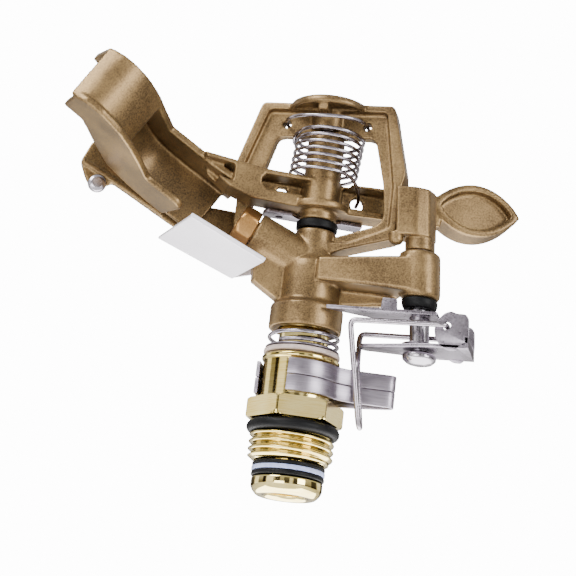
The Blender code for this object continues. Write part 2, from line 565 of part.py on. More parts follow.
def deflector(zinc, steel):
    """The cast shield beside the jet, its screws, and the stainless saddle that tilts under the nozzle."""
    pivot = (10.5, SHIELD_SIDE, 43.0)
    place = empty("deflector_axis", arm_to_world(*pivot), ARM_YAW)
    outline = [(-3.4, -2.8), (-1, -3.6), (4, -3.2), (14, -0.6), (26, 4.2), (42.6, 10.0), (46.4, 10.6)]
    outline += [(47.6, 13.4), (49.8, 18.4), (47.4, 24.4), (27, 15.2), (14, 8), (4, 3.6), (-1, 3.6), (-3.4, 2.8)]
    shield = upright("jet_shield", zinc, outline, 0.0, 1.6, place)
    rim = [(27.3, 7.3), (49.6, 18.0), (49.2, 19.4), (26.7, 8.7)]
    flange = upright("shield_flange", zinc, rim, 0.4, 2.2, place)
    combine(shield, [flange], "UNION")
    foot_hole = aim(turned("shield_foot_hole", zinc, [(0, 9), (1.6, 9), (1.6, -9), (0, -9)], 16, place),
                    (0, 0, 0), (0, 1, 0))
    tip_hole = aim(turned("shield_tip_hole", zinc, [(0, 9), (1.3, 9), (1.3, -9), (0, -9)], 16, place),
                   (44.9, 0, 12.9), (0, 1, 0))
    combine(shield, [foot_hole, tip_hole], "DIFFERENCE")
    head_profile = [(0, 0.6), (1.6, 0.5), (2.3, 0), (2.4, -1.1)]
    foot_screw = turned("shield_screw", steel, head_profile + [(1.0, -1.1), (1.0, -8.0), (0, -8.0)], 24, place)
    aim(foot_screw, (0, -1.4, 0), (0, -1, 0))
    tip_screw = turned("tip_screw", steel, head_profile + [(1.0, -1.1), (1.0, -4.6), (0, -4.6)], 24, place)
    aim(tip_screw, (44.9, 3.0, 12.9), (0, 1, 0))

    tilt = empty("deflector_tilt", (0, 0, 0))
    tilt.parent = place
    tilt.rotation_euler.y = -math.radians(DEFLECTOR_SLOPE)
    cos, sin = math.cos(math.radians(DEFLECTOR_SKEW)), math.sin(math.radians(DEFLECTOR_SKEW))

    def skewed(x, y):
        return (x * cos - y * sin, x * sin + y * cos)

    floor = [skewed(5.6, 2.7), skewed(26.5, -1.4), skewed(26.5, 26.8), skewed(5.3, 26.8)]
    floor[0], floor[1] = (4.9, 2.0), (26.5, 2.0)
    plate = prism("deflector_plate", steel, floor, -8.2, -7.4, tilt)
    lip = [skewed(5.3, 26.0), skewed(26.5, 26.0), skewed(26.5, 26.8), skewed(5.3, 26.8)]
    near_lip = prism("deflector_lip", steel, lip, -8.0, -5.6, tilt)
    cheek = [(-3.2, -1.6), (-2.2, 2.2), (0, 3.2), (2.6, 2.0), (8, -3.0), (24, -5.4), (26.5, -7.8), (4.9, -7.9)]
    far_cheek = upright("deflector_cheek", steel, cheek, 2.0, 2.7, tilt)
    combine(plate, [near_lip, far_cheek], "UNION")
    cheek_hole = aim(turned("cheek_hole", steel, [(0, 9), (1.3, 9), (1.3, -9), (0, -9)], 16, tilt),
                     (0, 0, 0), (0, 1, 0))
    combine(plate, [cheek_hole], "DIFFERENCE")


def main():
    clear_scene()
    brass = finish("polished_brass", "D9B95C", 0.22, 1.0)
    zinc = finish("bronze_painted_zinc", "9A7C50", 0.42, 0.6)
    bronze = finish("bronze", "B48A55", 0.4, 0.9)
    steel = finish("stainless_steel", "A8A0A8", 0.3, 1.0)
    rubber = finish("black_rubber", "252028", 0.6, 0.0)
    slip = finish("blue_slip_polymer", "A0A8D0", 0.45, 0.0)
    polymer = finish("grey_polymer", "B0A098", 0.5, 0.0)

    bearing_sleeve(brass)
    spindle_tube(brass)
    seals_and_washers(rubber, slip, polymer, steel)
    pressure_spring(steel)
    head_casting(zinc)
    nozzle(bronze)
    arm_axis = empty("arm_axis", (0, 0, 0), ARM_YAW)
    impact_arm(zinc, arm_axis)
    strike_strip(steel, arm_axis)
    pivot_parts(steel, rubber)
    arm_spring(steel)
    stop_collar("lower_stop_collar", steel, LOWER_STOP_Z)
    stop_collar("upper_stop_collar", steel, UPPER_STOP_Z)
    trip_parts(zinc, steel, rubber)
    deflector(zinc, steel)


main()
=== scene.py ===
"""An impact sprinkler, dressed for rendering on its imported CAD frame.

Lengths in this file are millimetres and angles degrees, turned into metres as each mesh is made.
"""

import math

import bmesh
import bpy
import numpy as np
from mathutils import Matrix, Vector


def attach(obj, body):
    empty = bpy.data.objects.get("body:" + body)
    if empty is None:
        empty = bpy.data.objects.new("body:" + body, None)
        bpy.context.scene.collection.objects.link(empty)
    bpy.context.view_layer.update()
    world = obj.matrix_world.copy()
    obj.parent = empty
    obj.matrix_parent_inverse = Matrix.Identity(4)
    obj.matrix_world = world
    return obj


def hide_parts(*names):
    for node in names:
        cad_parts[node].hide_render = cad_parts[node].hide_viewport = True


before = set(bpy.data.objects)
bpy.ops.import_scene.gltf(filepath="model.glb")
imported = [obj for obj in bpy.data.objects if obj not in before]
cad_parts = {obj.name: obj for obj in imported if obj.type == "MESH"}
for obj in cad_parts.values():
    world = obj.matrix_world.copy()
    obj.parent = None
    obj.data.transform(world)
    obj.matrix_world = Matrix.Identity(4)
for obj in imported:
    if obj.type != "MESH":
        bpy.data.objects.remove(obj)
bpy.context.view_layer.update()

# ---------------------------------------------------------------- bearing sleeve
# The fixed foot: a turned brass sleeve with a G 1/2 pipe thread, a spanner hexagon and a plain barrel
# that ends in a small rolled rim. It is machined from bar, so its faces carry fine turning lines.

MM = 0.001
CREASE = math.radians(38)  # faces that meet at more than this keep a sharp edge
MOST_OF_A_SIDE = 0.49  # the most that a corner's curve takes of the side beside it
PATCHES_PER_METRE = 90.0  # the broad noise under each material's own grain
COLOUR_SPAN = (0.72, 1.28)  # the sum of both noises that runs a colour from dark to light
ROUGHNESS_SPAN = (0.7, 1.3)
SLEEVE_COLUMNS = 240
PITCH = 1.814  # 14 threads to the inch
THREAD_CREST = 10.47
THREAD_DEPTH = 0.95
THREAD_TOP, THREAD_END, THREAD_STEP = -3.0, -9.75, -0.06
FADE_IN, FADE_OUT = -3.15, -9.7  # heights at which the thread starts to run in and ends running out
GROOVE_RADIUS = 8.3
GROOVE_TOP, GROOVE_FOOT = -0.05, -2.7
HEX_FLAT = 10.5  # from the axis to a flat
HEX_TURN = 20.0  # the heading of one corner


def skin(name, grid, ring=False):
    """A shell over a grid of points: each row closes on itself, and the first and last rows are
    capped, or joined to each other for a ring."""
    rows, columns = grid.shape[:2]
    index = np.arange(rows * columns).reshape(rows, columns)
    near = index if ring else index[:-1]
    far = np.roll(index, -1, 0) if ring else index[1:]
    quads = np.stack([near, np.roll(near, -1, 1), np.roll(far, -1, 1), far], -1).reshape(-1, 4)
    faces = quads.tolist()
    if not ring:
        faces += [index[0, ::-1].tolist(), index[-1].tolist()]
    mesh = bpy.data.meshes.new(name)
    mesh.from_pydata((grid.reshape(-1, 3) * MM).tolist(), [], faces)
    shell = bmesh.new()
    shell.from_mesh(mesh)
    bmesh.ops.recalc_face_normals(shell, faces=shell.faces)
    shell.to_mesh(mesh)
    shell.free()
    mesh.shade_smooth()
    mesh.set_sharp_from_angle(angle=CREASE)
    item = bpy.data.objects.new(name, mesh)
    bpy.context.scene.collection.objects.link(item)
    return item


def softened(points, radius, steps=3, closed=False):
    """A line of points with each corner replaced by a curve: the corner P between neighbours A and B
    becomes (1-t)^2 P1 + 2t(1-t) P + t^2 P2, where P1 and P2 lie up to the radius from P."""
    points = np.asarray(points, float)
    before, after = np.roll(points, 1, 0), np.roll(points, -1, 0)
    back, ahead = before - points, after - points
    back_length = np.linalg.norm(back, axis=1, keepdims=True)
    ahead_length = np.linalg.norm(ahead, axis=1, keepdims=True)
    first = points + back * np.minimum(radius / back_length, MOST_OF_A_SIDE)
    last = points + ahead * np.minimum(radius / ahead_length, MOST_OF_A_SIDE)
    t = np.linspace(0, 1, steps + 1)[None, :, None]
    first, corner, last = first[:, None], points[:, None], last[:, None]
    curved = (1 - t) ** 2 * first + 2 * t * (1 - t) * corner + t**2 * last
    if closed:
        return curved.reshape(-1, points.shape[1])
    middle = curved[1:-1].reshape(-1, points.shape[1])
    return np.vstack([points[:1], middle, points[-1:]])


def around(radius, height, columns):
    """Points at (r cos a, r sin a, z) for even angles a; r and z are given for each row, and r may
    also change with the angle."""
    angle = np.linspace(0, 2 * math.pi, columns, endpoint=False)
    radius = np.asarray(radius, float)
    if radius.ndim == 1:
        radius = np.repeat(radius[:, None], columns, 1)
    height = np.repeat(np.asarray(height, float)[:, None], columns, 1)
    return np.stack([radius * np.cos(angle), radius * np.sin(angle), height], -1)


def turned(name, profile, edge=0.2, columns=96, ring=True):
    """A lathe-turned piece: a profile of (radius, height) corners, softened, carried round Z."""
    line = softened(profile, edge, closed=ring)
    return skin(name, around(line[:, 0], line[:, 1], columns), ring=ring)


def linear(colour):
    """An sRGB hex colour as linear RGBA."""
    values = np.array([int(colour[i : i + 2], 16) / 255 for i in (0, 2, 4)])
    values = np.where(values <= 0.04045, values / 12.92, ((values + 0.055) / 1.055) ** 2.4)
    return (*values.tolist(), 1.0)


def add(tree, kind, inputs=None, **settings):
    """Adds a node with its settings; an input given as another node's output is linked to it."""
    made = tree.nodes.new(kind)
    for key, value in settings.items():
        setattr(made, key, value)
    for key, value in (inputs or {}).items():
        if isinstance(value, bpy.types.NodeSocket):
            tree.links.new(value, made.inputs[key])
        else:
            made.inputs[key].default_value = value
    return made


def surface(
    name, dark, light, metallic, roughness, grain, streak=(1, 1, 1), spread=0.08, relief=0.00002
):
    """A material whose colour runs from dark to light and whose roughness shifts by the spread over
    the sum of two noises: one of the given grain in millimetres, stretched by the streak, which
    also gives the relief, in metres, and a broad one."""
    material = bpy.data.materials.new(name)
    material.use_nodes = True
    tree = material.node_tree
    shader = tree.nodes["Principled BSDF"]
    shader.inputs["Metallic"].default_value = metallic
    place = add(tree, "ShaderNodeTexCoord").outputs["Object"]
    scaled = add(tree, "ShaderNodeMapping", {"Vector": place, "Scale": streak}).outputs["Vector"]
    fine = add(tree, "ShaderNodeTexNoise", {"Vector": scaled, "Scale": 1000 / grain, "Detail": 3.0})
    patches = {"Vector": place, "Scale": PATCHES_PER_METRE, "Detail": 2.0}
    broad = add(tree, "ShaderNodeTexNoise", patches)
    noises = {0: fine.outputs["Fac"], 1: broad.outputs["Fac"]}
    blend = add(tree, "ShaderNodeMath", noises, operation="ADD").outputs[0]
    span = {"Value": blend, "From Min": COLOUR_SPAN[0], "From Max": COLOUR_SPAN[1]}
    share = add(tree, "ShaderNodeMapRange", span).outputs[0]
    tones = {"Fac": share, "Color1": linear(dark), "Color2": linear(light)}
    colour = add(tree, "ShaderNodeMixRGB", tones)
    span = {"Value": blend, "From Min": ROUGHNESS_SPAN[0], "From Max": ROUGHNESS_SPAN[1]}
    span |= {"To Min": roughness - spread, "To Max": roughness + spread}
    rough = add(tree, "ShaderNodeMapRange", span)
    heights = {"Height": fine.outputs["Fac"], "Distance": relief, "Strength": 0.6}
    bump = add(tree, "ShaderNodeBump", heights)
    tree.links.new(colour.outputs[0], shader.inputs["Base Color"])
    tree.links.new(rough.outputs[0], shader.inputs["Roughness"])
    tree.links.new(bump.outputs[0], shader.inputs["Normal"])
    return material


# Free-cutting brass, machined and tumbled: a bright yellow metal, its turning lines a few hundredths
# of a millimetre apart, drawn at a quarter of a millimetre so that they show.
turned_brass = surface(
    "turned_brass", "C9B05E", "E9D795", 1.0, 0.13, 1.2, (0.25, 0.25, 5.0), 0.05, 0.000003
)


def dress(item, material, body, slot, *nodes):
    """Gives a piece its material and body, and lets it stand for the CAD nodes named; the slot is not
    used.
    """
    item.data.materials.clear()
    item.data.materials.append(material)
    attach(item, body)
    if nodes:
        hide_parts(*nodes)


def sleeve_surface():
    """Radius over height and angle: the hexagon is flat / cos(angle from its flat), cut by a chamfer
    cone; the thread is a rounded wave in height plus one pitch for each turn."""
    angle = np.linspace(0, 2 * math.pi, SLEEVE_COLUMNS, endpoint=False)
    barrel = [(6.6, 16.3), (8.9, 16.3), (9.65, 15.9), (9.65, 15.1), (9.15, 14.6), (9.15, 5.0)]
    barrel = softened(barrel, 0.25)
    hex_height = np.array([5.0, 4.98, 4.8, 4.6, 4.2, 1.0, 0.5, 0.2, 0.02, 0.0])
    cone = np.array([10.2, 11.5, 11.85, 12.05, 12.2, 12.2, 12.05, 11.85, 11.4, 10.4])
    turn = (np.degrees(angle) - HEX_TURN) % 60 - 30
    flat = HEX_FLAT / np.cos(np.radians(turn))
    hexagon = np.minimum(flat[None, :], cone[:, None])
    height = np.arange(THREAD_TOP, THREAD_END, THREAD_STEP)
    phase = height[:, None] / PITCH + angle[None, :] / (2 * math.pi)
    wave = 0.5 - 0.5 * np.cos(2 * math.pi * phase)
    ends = np.clip((FADE_IN - height) / 0.5, 0, 1) * np.clip((height - FADE_OUT) / 0.7, 0, 1)
    thread = THREAD_CREST - THREAD_DEPTH + THREAD_DEPTH * wave**0.8 * ends[:, None]
    foot = softened([(9.1, -9.8), (8.8, -10.05), (6.6, -10.05)], 0.1)
    radius = np.vstack(
        [
            np.repeat(barrel[:, :1], SLEEVE_COLUMNS, 1),
            hexagon,
            np.full((2, SLEEVE_COLUMNS), GROOVE_RADIUS),
            thread,
            np.repeat(foot[:, :1], SLEEVE_COLUMNS, 1),
        ]
    )
    groove = [GROOVE_TOP, GROOVE_FOOT]
    heights = np.concatenate([barrel[:, 1], hex_height, groove, height, foot[:, 1]])
    return around(radius, heights, SLEEVE_COLUMNS)


sleeve = skin("sleeve_turned", sleeve_surface(), ring=True)
dress(sleeve, turned_brass, "bearing", "brass", "bearing_sleeve")

# ---------------------------------------------------------------- seals and washers
# An O-ring seals the hexagon on the riser. Below the thread a blue slip washer runs between two
# black rubber ones; above the barrel sit a moulded cap ring and a pressed steel washer.

WASHER_BORE = 6.5
O_RING_RADIUS, O_RING_SECTION, O_RING_HEIGHT = 10.0, 1.48, -1.85

# Black nitrile rubber, moulded: it mirrors less than other polymers, so its specular is lowered.
seal_rubber = surface("moulded_nitrile_rubber", "030304", "08080A", 0.0, 0.5, 0.5, spread=0.08)
seal_rubber.node_tree.nodes["Principled BSDF"].inputs["Specular IOR Level"].default_value = 0.16
# Moulded acetal in pale blue, moulded nylon in a greyed pink, and stainless sheet pressed and
# tumbled to an even satin.
slip_blue = surface("blue_acetal", "8F9AC6", "AEB8DC", 0.0, 0.42, 0.8)
cap_grey = surface("pinkish_nylon", "A5948C", "C2B2AA", 0.0, 0.5, 0.8)
pressed_steel = surface(
    "tumbled_stainless", "7D767F", "A39CA6", 1.0, 0.3, 0.6, spread=0.05, relief=0.000002
)

circle = np.linspace(0, 2 * math.pi, 24, endpoint=False)
o_ring_radius = O_RING_RADIUS + O_RING_SECTION * np.cos(circle)
o_ring_height = O_RING_HEIGHT + O_RING_SECTION * np.sin(circle)
o_ring = skin("o_ring_moulded", around(o_ring_radius, o_ring_height, 96), ring=True)
dress(o_ring, seal_rubber, "bearing", "rubber", "flange_o_ring")
for name, low, high, outer, edge, material, slot, node_name in (
    ("upper_rubber_ring", -11.4, -10.35, 8.95, 0.45, seal_rubber, "rubber", "upper_sealing_washer"),
    ("blue_slip_ring", -12.65, -11.5, 9.0, 0.3, slip_blue, "slip_polymer", "slip_washer"),
    ("lower_rubber_ring", -13.95, -12.75, 9.0, 0.5, seal_rubber, "rubber", "lower_sealing_washer"),
    ("cap_ring_moulded", 16.6, 17.85, 9.5, 0.5, cap_grey, "ring_polymer", "sleeve_cap_ring"),
):
    section = [(WASHER_BORE, high), (outer, high), (outer, low), (WASHER_BORE, low)]
    ring_piece = turned(name, section, edge)
    dress(ring_piece, material, "bearing", slot, node_name)
seat_section = [(WASHER_BORE, 18.7), (8.7, 18.75), (9.2, 18.45), (9.2, 18.15), (WASHER_BORE, 18.1)]
seat = turned("spring_seat_pressed", seat_section, 0.15)
dress(seat, pressed_steel, "head", "stainless", "spring_seat_washer")

# ---------------------------------------------------------------- bearing tube
# The turning tube: a polished brass nose below the washers, its straight body inside the sleeve and
# its neck bare between sleeve and head. The nose is turned smooth, so it mirrors the room.

# Brass turned fine and buffed: the same yellow metal, nearly a mirror.
polished_brass = surface(
    "polished_brass", "D3BC6C", "EEDD9E", 1.0, 0.07, 1.0, (0.3, 0.3, 3.0), 0.03, 0.000001
)
tube = turned(
    "tube_polished",
    [
        (6.2, 30.2),
        (6.2, -14.2),
        (8.75, -14.2),
        (8.75, -16.3),
        (8.2, -17.4),
        (7.2, -18.4),
        (5.4, -18.4),
        (4.7, -17.6),
        (4.6, 30.2),
    ],
    0.5,
)
dress(tube, polished_brass, "head", "brass", "spindle_tube")

# ---------------------------------------------------------------- springs
# Both springs are cold-wound stainless wire. The pressure spring is nearly closed; the arm spring
# has open coils, a long loop hooked over the bridge at the top and an end caught in the arm.

END_NARROWING = 0.55  # a wire's cut ends are drawn narrower, as if their rims were rounded
PRESSURE_TURNS, PRESSURE_RADIUS, PRESSURE_START = 1.6, 8.5, 4.2  # the start in radians
PRESSURE_FOOT, PRESSURE_RISE = 19.35, 3.1
SPRING_TURNS = 6.3
SPRING_LEAN = 1.1  # how far the arm spring's top coil lies to the right of its lowest
COIL_RADIUS = 8.4
COIL_START = math.radians(205)
COIL_TOP, COIL_DROP = 74.8, 11.3
LOOP_RADIUS, LOOP_HEIGHT, LOOP_SAG = 10.9, 77.3, 0.6

# Hard-drawn stainless wire: bright, with fine lines along its length.
spring_steel = surface(
    "drawn_stainless_wire", "7A737A", "ABA4AB", 1.0, 0.2, 0.7, (1, 1, 3), 0.05, 0.000002
)


def eased(points, spacing=0.25, rounds=24):
    """A path through the points, stepped evenly, then relaxed: each point moves to the mean of
    itself and its neighbours, again and again, which rounds the corners and keeps both ends."""
    points = np.asarray(points, float)
    length = np.concatenate([[0], np.cumsum(np.linalg.norm(np.diff(points, axis=0), axis=1))])
    along = np.linspace(0, length[-1], int(length[-1] / spacing) + 2)
    path = np.stack([np.interp(along, length, points[:, i]) for i in range(points.shape[1])], -1)
    for _ in range(rounds):
        path[1:-1] = 0.25 * path[:-2] + 0.5 * path[1:-1] + 0.25 * path[2:]
    return path


def drawn(name, path, radius, sides=14):
    """A wire: a circle carried along the path, its axes turned from each step to the next by the
    least turn that follows the path."""
    path = np.asarray(path, float)
    tangent = np.gradient(path, axis=0)
    tangent /= np.linalg.norm(tangent, axis=1, keepdims=True)
    side = np.cross(tangent[0], (0.3, 0.5, 0.81))
    sides_of_path = []
    for direction in tangent:
        side = side - direction * np.dot(side, direction)
        side /= np.linalg.norm(side)
        sides_of_path.append(side)
    first = np.array(sides_of_path)
    second = np.cross(tangent, first)
    angle = np.linspace(0, 2 * math.pi, sides, endpoint=False)[None, :, None]
    scale = np.full(len(path), radius)
    scale[[0, -1]] *= END_NARROWING
    path[0] += 0.12 * (path[0] - path[1])
    circle_points = first[:, None] * np.cos(angle) + second[:, None] * np.sin(angle)
    return skin(name, path[:, None] + circle_points * scale[:, None, None])


wound = np.linspace(0, 2 * math.pi * PRESSURE_TURNS, 160)
pressure_path = np.stack(
    [
        PRESSURE_RADIUS * np.cos(wound + PRESSURE_START),
        PRESSURE_RADIUS * np.sin(wound + PRESSURE_START),
        PRESSURE_FOOT + PRESSURE_RISE * wound / wound[-1],
    ],
    -1,
)
pressure = drawn("pressure_spring_wound", pressure_path, 0.5)
dress(pressure, spring_steel, "head", "stainless", "pressure_spring")

ARM_YAW = math.radians(203.6)
OUT = np.array([math.cos(ARM_YAW), math.sin(ARM_YAW), 0])
SIDE = np.array([-math.sin(ARM_YAW), math.cos(ARM_YAW), 0])
UP = np.array([0, 0, 1.0])


def on_arm(points):
    """Points given along the arm, across it towards its swing and up, in the shared frame."""
    points = np.asarray(points, float)
    return points[..., :1] * OUT + points[..., 1:2] * SIDE + points[..., 2:3] * UP


coil = np.linspace(0, 2 * math.pi * SPRING_TURNS, 420)
coil_points = np.stack(
    [
        COIL_RADIUS * np.cos(coil + COIL_START) + SPRING_LEAN * (1 - coil / coil[-1]),
        COIL_RADIUS * np.sin(coil + COIL_START),
        COIL_TOP - COIL_DROP * coil / coil[-1],
    ],
    -1,
)
loop_angle = np.radians(np.linspace(-18, -162, 40))
loop_height = LOOP_HEIGHT - LOOP_SAG * np.sin(-loop_angle) ** 4
loop_depth = LOOP_RADIUS * np.sin(loop_angle) * 0.98
loop = np.stack([LOOP_RADIUS * np.cos(loop_angle), loop_depth, loop_height], -1)
tail = [(-6.0, 6.0, 63.2), (-8.0, 4.4, 61.8), (-9.2, 2.4, 60.2), (-9.8, 0.2, 58.9)]
tail = on_arm(tail + [(-9.8, -2.6, 58.2)])
right_end = [(10.3, 3.8, 77.4), (10.4, -2.6, 77.4)]
behind = [(-10.5, -2.6, 77.4), (-10.5, 3.9, 77.4), (-9.8, 4.4, 75.6), (-8.9, 3.4, 73.6)]
behind += [(-8.6, 0.0, 73.3), (-8.0, -2.4, 73.9)]
spring_path = np.vstack([right_end, loop, behind])
spring_path = eased(np.vstack([spring_path, coil_points, tail]), 0.3, 8)
arm_spring = drawn("arm_spring_wound", spring_path, 0.45, 12)
dress(arm_spring, spring_steel, "head", "stainless", "arm_spring")

# ---------------------------------------------------------------- head casting
# The head is one zinc die casting in metallic bronze paint: collar and neck, the nozzle branch with
# its web, the bridge with raised rims, the hollow crown and the bracket that holds the trip pin.


def slab(name, outline, low, high, edge=0.25, corner=0.0, upright=False):
    """A plate: an outline in a plane, softened at its corners, carried from low to high with its
    rims rounded: near each end the outline moves in by edge (1 - sin a) while the height moves by
    edge (1 - cos a). Upright plates stand in XZ and run along Y; the others lie in XY."""
    outline = softened(outline, corner, 4, closed=True) if corner else np.asarray(outline, float)
    ahead = np.roll(outline, -1, 0) - outline
    ahead /= np.linalg.norm(ahead, axis=1, keepdims=True)
    back = np.roll(ahead, 1, 0)
    x, y = outline.T
    way_round = math.copysign(1, np.sum(x * np.roll(y, -1) - y * np.roll(x, -1)))
    square = np.stack([-ahead[:, 1], ahead[:, 0]], -1) * way_round
    normal = np.stack([-(ahead + back)[:, 1], (ahead + back)[:, 0]], -1) * way_round
    normal /= np.linalg.norm(normal, axis=1, keepdims=True)
    normal /= np.clip(np.sum(normal * square, 1), 0.5, 1)[:, None]
    angle = np.radians([0, 30, 60, 90]) if edge else np.array([math.pi / 2])
    inset = edge * (1 - np.sin(angle))
    rise = edge * (1 - np.cos(angle))
    inset = np.concatenate([inset, inset[::-1]])
    height = np.concatenate([low + rise, high - rise[::-1]])
    flat = outline[None] + normal[None] * inset[:, None, None]
    depth = np.repeat(height[:, None], len(outline), 1)
    parts = (flat[..., 0], depth, flat[..., 1]) if upright else (flat[..., 0], flat[..., 1], depth)
    return skin(name, np.stack(parts, -1))


def block(name, low, high, edge=0.0):
    """A box between two corners."""
    (left, front, foot), (right, rear, top) = low, high
    return slab(name, [(left, front), (right, front), (right, rear), (left, rear)], foot, top, edge)


def facing(direction):
    """The turn that carries +Z to a direction."""
    return Vector((0, 0, 1)).rotation_difference(Vector(direction)).to_matrix().to_4x4()


def rod(name, start, direction, radius, length, edge=0.0, columns=64):
    """A round bar from a start point along a direction."""
    profile = [(0.01, length), (radius, length), (radius, 0), (0.01, 0)]
    item = turned(name, profile, edge, columns, ring=False)
    item.data.transform(Matrix.Translation(Vector(start) * MM) @ facing(direction))
    return item


def moved(item, matrix):
    """Moves a piece's points, which leaves the object itself at the origin."""
    item.data.transform(matrix)
    return item


def cast(name, solids, cuts, grain=0.36, rounds=3):
    """One casting: the solids joined and the cuts taken away, then skinned again in even faces of
    the given grain and relaxed, which rounds each edge and fillet as a mould does."""
    whole = solids[0]
    for others, operation in ((solids[1:], "UNION"), (cuts, "DIFFERENCE")):
        for other in others:
            step = whole.modifiers.new(other.name, "BOOLEAN")
            step.object = other
            step.operation = operation
            step.solver = "EXACT"
    if grain:
        even = whole.modifiers.new("even_skin", "REMESH")
        even.mode = "VOXEL"
        even.voxel_size = grain * MM
        relaxed = whole.modifiers.new("soft_edges", "SMOOTH")
        relaxed.factor = 0.5
        relaxed.iterations = rounds
    bpy.context.view_layer.update()
    graph = bpy.context.evaluated_depsgraph_get()
    mesh = bpy.data.meshes.new_from_object(whole.evaluated_get(graph), depsgraph=graph)
    whole.modifiers.clear()
    whole.data = mesh
    whole.name = name
    mesh.shade_smooth()
    if not grain:
        mesh.set_sharp_from_angle(angle=CREASE)
    for other in solids[1:] + cuts:
        bpy.data.objects.remove(other)
    return whole


# Metallic bronze enamel on zinc: its flakes are a tenth of a millimetre, drawn at four tenths so
# that they show, and the paint is lighter where they lie flat.
bronze_paint = surface(
    "metallic_bronze_enamel", "55432B", "90764F", 0.78, 0.38, 0.4, spread=0.07, relief=0.00003
)

BRANCH_RISE = math.radians(22)
BRANCH = np.cos(BRANCH_RISE) * OUT + math.sin(BRANCH_RISE) * UP
BRANCH_START = (0, 0, 40.1)
BOSS_OUT, BOSS_HEIGHT = 10.5, 43.0  # the side boss that carries the shield, in the arm's frame
EYE_HEIGHT = 77.4  # the two holes through the bridge that hold the arm spring's loop
TRIP = (28.7, -3.0)  # where the trip pin's axis stands
PIN_LEAN = -0.09  # the shift in x for each unit of height
LEAN_FROM = 28.6
BRACKET_FRONT, BRACKET_BACK = TRIP[1] - 4.9, TRIP[1] + 3.4

neck = turned(
    "neck",
    [
        (0.01, 49.1),
        (5.0, 49.1),
        (5.05, 46.0),
        (5.3, 43.6),
        (6.0, 41.8),
        (7.3, 40.2),
        (7.6, 38.6),
        (7.6, 30.2),
        (8.3, 29.6),
        (9.1, 29.0),
        (9.1, 23.3),
        (8.7, 23.1),
        (0.01, 23.1),
    ],
    0.3,
    ring=False,
)
branch = rod("branch", BRANCH_START, BRANCH, 5.2, 16.9, 0.5)
web = slab("web", [(3, 29), (8.4, 30.1), (14.8, 33.9), (15.4, 44), (3, 40)], -2.0, 2.0, upright=True)
moved(web, Matrix.Rotation(ARM_YAW, 4, "Z"))
side_boss = rod("side_boss", on_arm((BOSS_OUT, 0, BOSS_HEIGHT)), -SIDE, 2.9, 11.6, 0.3)

bridge_outline = [(-17.2, 82.7), (17.2, 82.7), (21.8, 64.5), (20.9, 61.0), (20.7, 47.6), (8, 44.2)]
bridge_outline += [(0, 41), (0, 37), (-8, 41.5), (-17, 42.5), (-21.4, 46.5), (-21.4, 62), (-22.3, 66)]
bridge = slab("bridge", bridge_outline, -3.3, 3.3, 0.3, 1.2, upright=True)
window_outline = [(-12.6, 74.2), (12.8, 74.2), (16.0, 62), (17.0, 53.6), (15.6, 51.4), (4, 47.4)]
window_outline += [(-4, 46.6), (-14.6, 46.6), (-17.4, 49.2), (-17.4, 56), (-15, 65.6)]
window = slab("window", window_outline, -20, 20, 0, 1.6, upright=True)
panel_outline = [(-15.2, 80.7), (15.4, 80.7), (18.8, 61.6), (18.8, 50.2), (9, 46), (-12, 46)]
panel_outline += [(-19.6, 48), (-19.6, 62), (-20.2, 65.4)]
panel_front = slab("panel_front", panel_outline, -20, -1.5, 0, 1.0, upright=True)
panel_back = slab("panel_back", panel_outline, 1.8, 20, 0, 1.0, upright=True)
tuck = block("tuck", (-30, -20, 38), (-6, -1.6, 65.6))
bridge = cast("bridge", [bridge], [window, panel_front, panel_back, tuck], grain=0)

crown_profile = [(0.01, 84.5), (3.0, 84.3), (8.2, 83.2), (10.1, 82.5), (10.3, 80.7), (9.4, 80.5)]
crown = turned("crown", crown_profile + [(9.1, 81.3), (0.01, 81.3)], 0.5, ring=False)
crown_rib = block("crown_rib", (-1.2, -9.2, 79.0), (1.2, 9.2, 82.0), 0.2)
crown_seat = rod("crown_seat", (0, 0, 75.8), UP, 4.2, 8.0, 0.4)
post_outline = [(14.6, 81.6), (17.1, 82.2), (21.4, 63.8), (18.0, 63.8)]
post_back = slab("post_back", post_outline, 2.0, 6.8, 0.3, 0.5, upright=True)


def at_trip(item):
    """Moves a piece to the trip pin and leans it with the pin: x shifts by the lean times the
    height above LEAN_FROM, where the leaning axis crosses the joint's upright one."""
    lean = Matrix.Identity(4)
    lean[0][2] = PIN_LEAN
    lean[0][3] = TRIP[0] * MM - PIN_LEAN * LEAN_FROM * MM
    lean[1][3] = TRIP[1] * MM
    return moved(item, lean)


bracket_outline = [(3, 35.0), (20, 33.9), (27.4, 33.2), (27.4, 42.3), (20, 41.9), (3, 40.8)]
bracket = slab("bracket", bracket_outline, BRACKET_FRONT, BRACKET_BACK, 0.5, upright=True)
boss_profile = [(0.01, 44.0), (4.6, 44.0), (5.1, 43.4), (5.1, 33.4), (4.6, 32.3), (0.01, 32.2)]
pin_boss = at_trip(turned("pin_boss", boss_profile, 0.5, ring=False))
skirt = slab("skirt", [(5, 30.2), (19, 31.2), (25, 36), (5, 37)], 0.4, 2.4, 0.3, upright=True)

